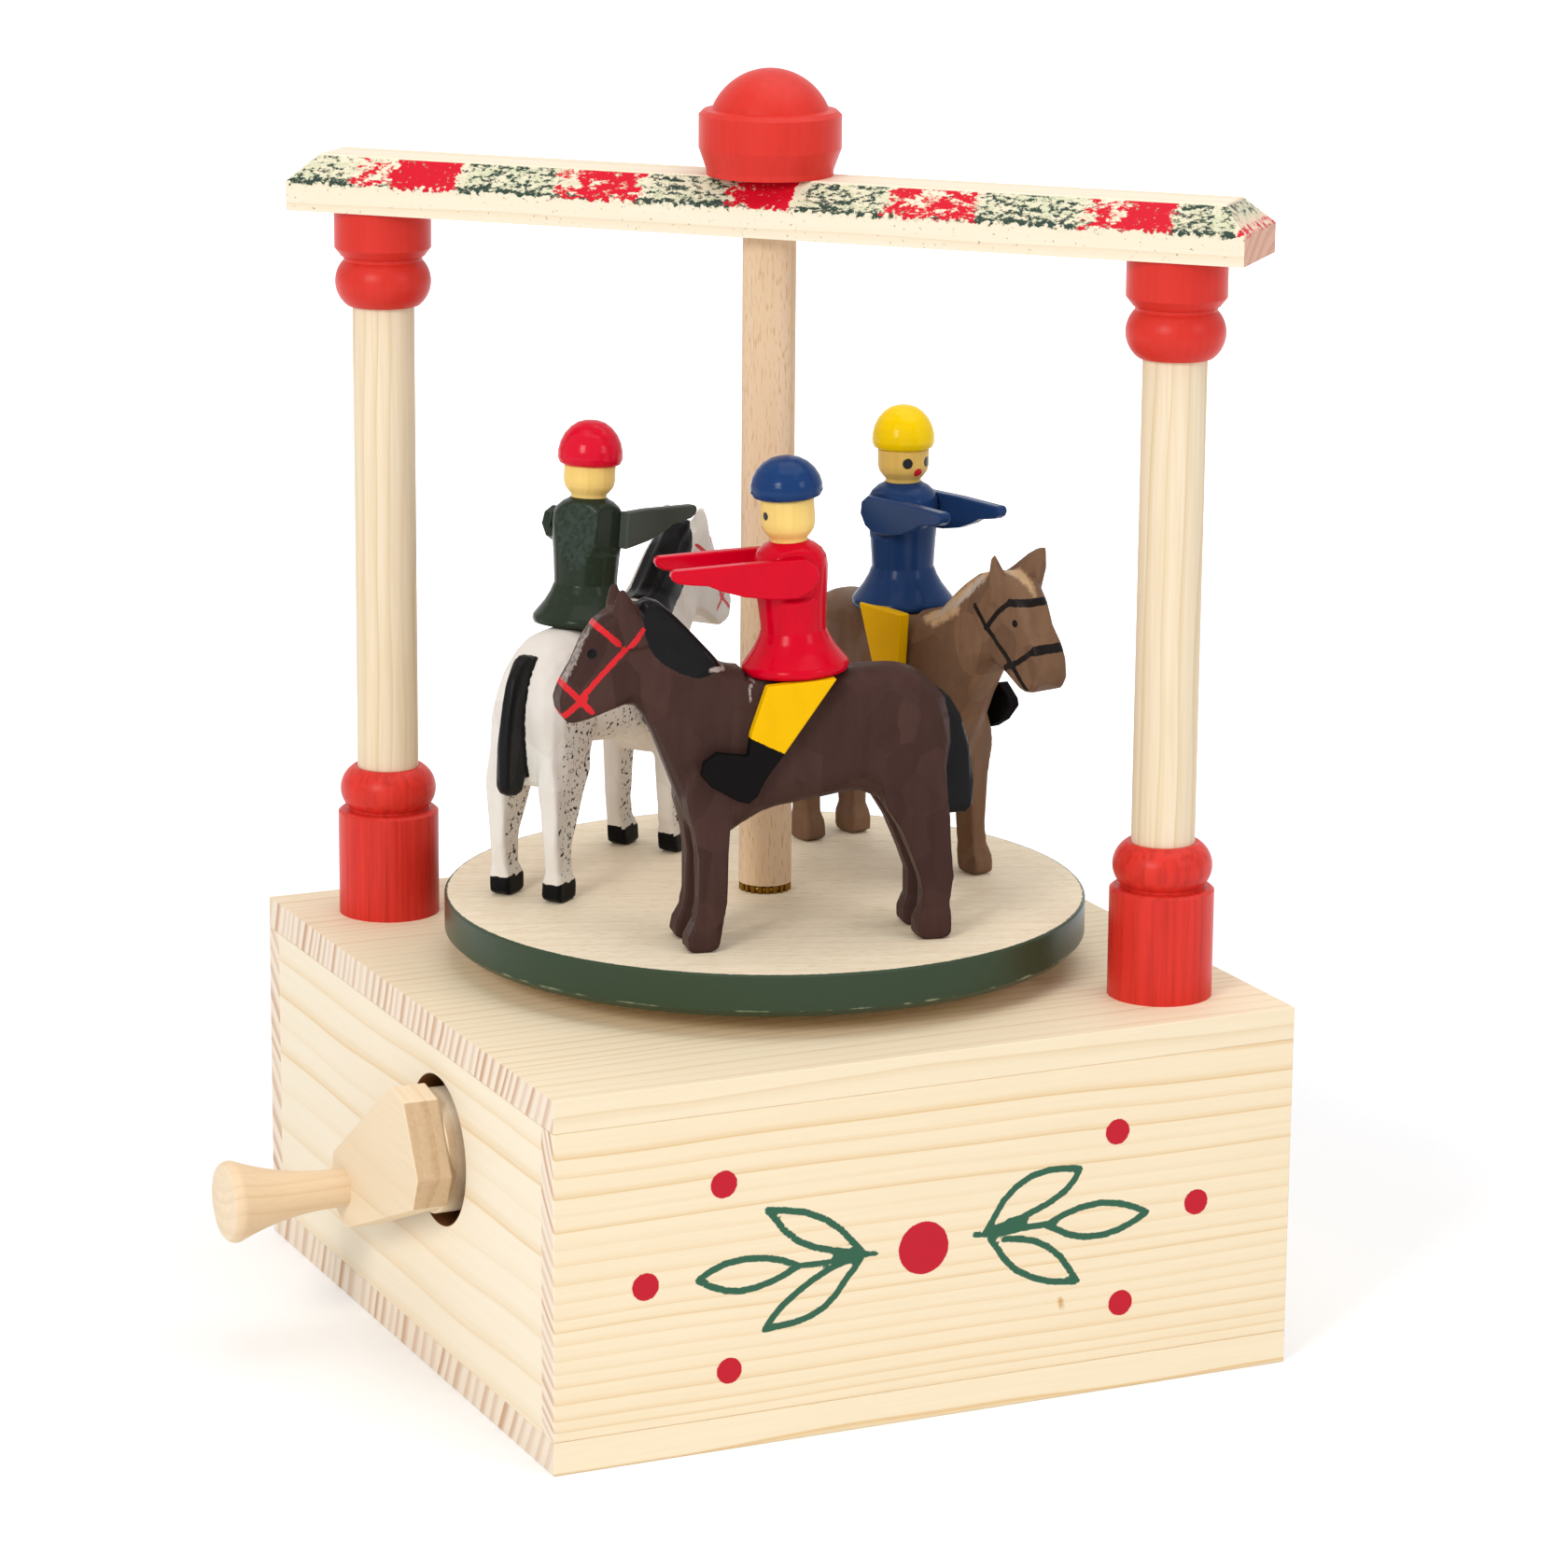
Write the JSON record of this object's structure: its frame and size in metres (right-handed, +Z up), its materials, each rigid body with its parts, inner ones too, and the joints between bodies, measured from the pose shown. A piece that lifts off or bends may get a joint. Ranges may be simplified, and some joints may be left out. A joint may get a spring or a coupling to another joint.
{
  "type": "wooden crank automaton",
  "caption": "Hand-cranked wooden roundabout: carved horses with turned riders on a disc above a square pine case, under a bar on turned columns.",
  "frame": {"origin": "middle of the case's underside, on the floor", "axes": "+X to the right along the painted front, +Y to the back, +Z up"},
  "size_m": [0.1476, 0.12, 0.1926],
  "materials": {
    "pine": "clear matt",
    "limewood": "clear satin",
    "red_lacquer": "red lacquer, half gloss",
    "plywood": "clear matt, edge lacquered dark green",
    "beech": "bare, sanded",
    "steel": "drawn rod",
    "brass": "turned",
    "dark_brown_paint": "brushed paint, satin",
    "white_paint": "brushed paint, satin",
    "light_brown_paint": "brushed paint, satin",
    "bare_wood": "clear satin",
    "blue_paint": "gloss paint",
    "red_paint": "gloss paint",
    "yellow_paint": "satin paint",
    "green_paint": "gloss paint",
    "navy_paint": "gloss paint"
  },
  "bodies": {
    "case": {"back_board": "pine", "base_board": "pine", "centre_post": "beech", "column_base_front": "red_lacquer", "column_base_rear": "red_lacquer", "column_capital_front": "red_lacquer", "column_capital_rear": "red_lacquer", "column_shaft_front": "limewood", "column_shaft_rear": "limewood", "crossbar": "limewood", "front_board": "pine", "inner_block": "beech", "left_board": "pine", "outer_block": "beech", "pivot_cup": "brass", "right_board": "pine", "spindle_bush": "brass", "top_board": "pine", "top_knob": "red_lacquer"},
    "carousel": {"dark_rider_cap": "blue_paint", "dark_rider_head": "bare_wood", "dark_rider_jacket": "red_paint", "dark_rider_left_arm": "red_paint", "dark_rider_left_leg": "yellow_paint", "dark_rider_right_arm": "red_paint", "dark_rider_right_leg": "yellow_paint", "disc_carrier": "brass", "horse_dark": "dark_brown_paint", "horse_tan": "light_brown_paint", "horse_white": "white_paint", "knurled_nut": "brass", "spindle": "steel", "tan_rider_cap": "yellow_paint", "tan_rider_head": "bare_wood", "tan_rider_jacket": "navy_paint", "tan_rider_left_arm": "navy_paint", "tan_rider_left_leg": "yellow_paint", "tan_rider_right_arm": "navy_paint", "tan_rider_right_leg": "yellow_paint", "thrust_washer": "brass", "turntable": "plywood", "wheel_set_screw": "steel", "white_rider_cap": "red_paint", "white_rider_head": "bare_wood", "white_rider_jacket": "green_paint", "white_rider_left_arm": "green_paint", "white_rider_left_leg": "yellow_paint", "white_rider_right_arm": "green_paint", "white_rider_right_leg": "yellow_paint", "worm_wheel": "brass"},
    "crank": {"axle_collar": "brass", "crank_arm": "beech", "crank_axle": "steel", "crank_boss": "beech", "crank_handle": "beech", "crank_set_screws": "steel", "worm": "brass"}
  },
  "joints": [
    {"name": "carousel_spin", "type": "hinge", "parent": "case", "child": "carousel", "pos_m": [0, 0, 0], "axis": [0, 0, -1], "continuous": true},
    {"name": "crank_spin", "type": "hinge", "parent": "case", "child": "crank", "pos_m": [-0.06, -0.0146, 0.0357], "axis": [1, 0, 0], "continuous": true}
  ],
  "couplings": [
    {"joint": "crank_spin", "follows": "carousel_spin", "ratio": 15}
  ]
}
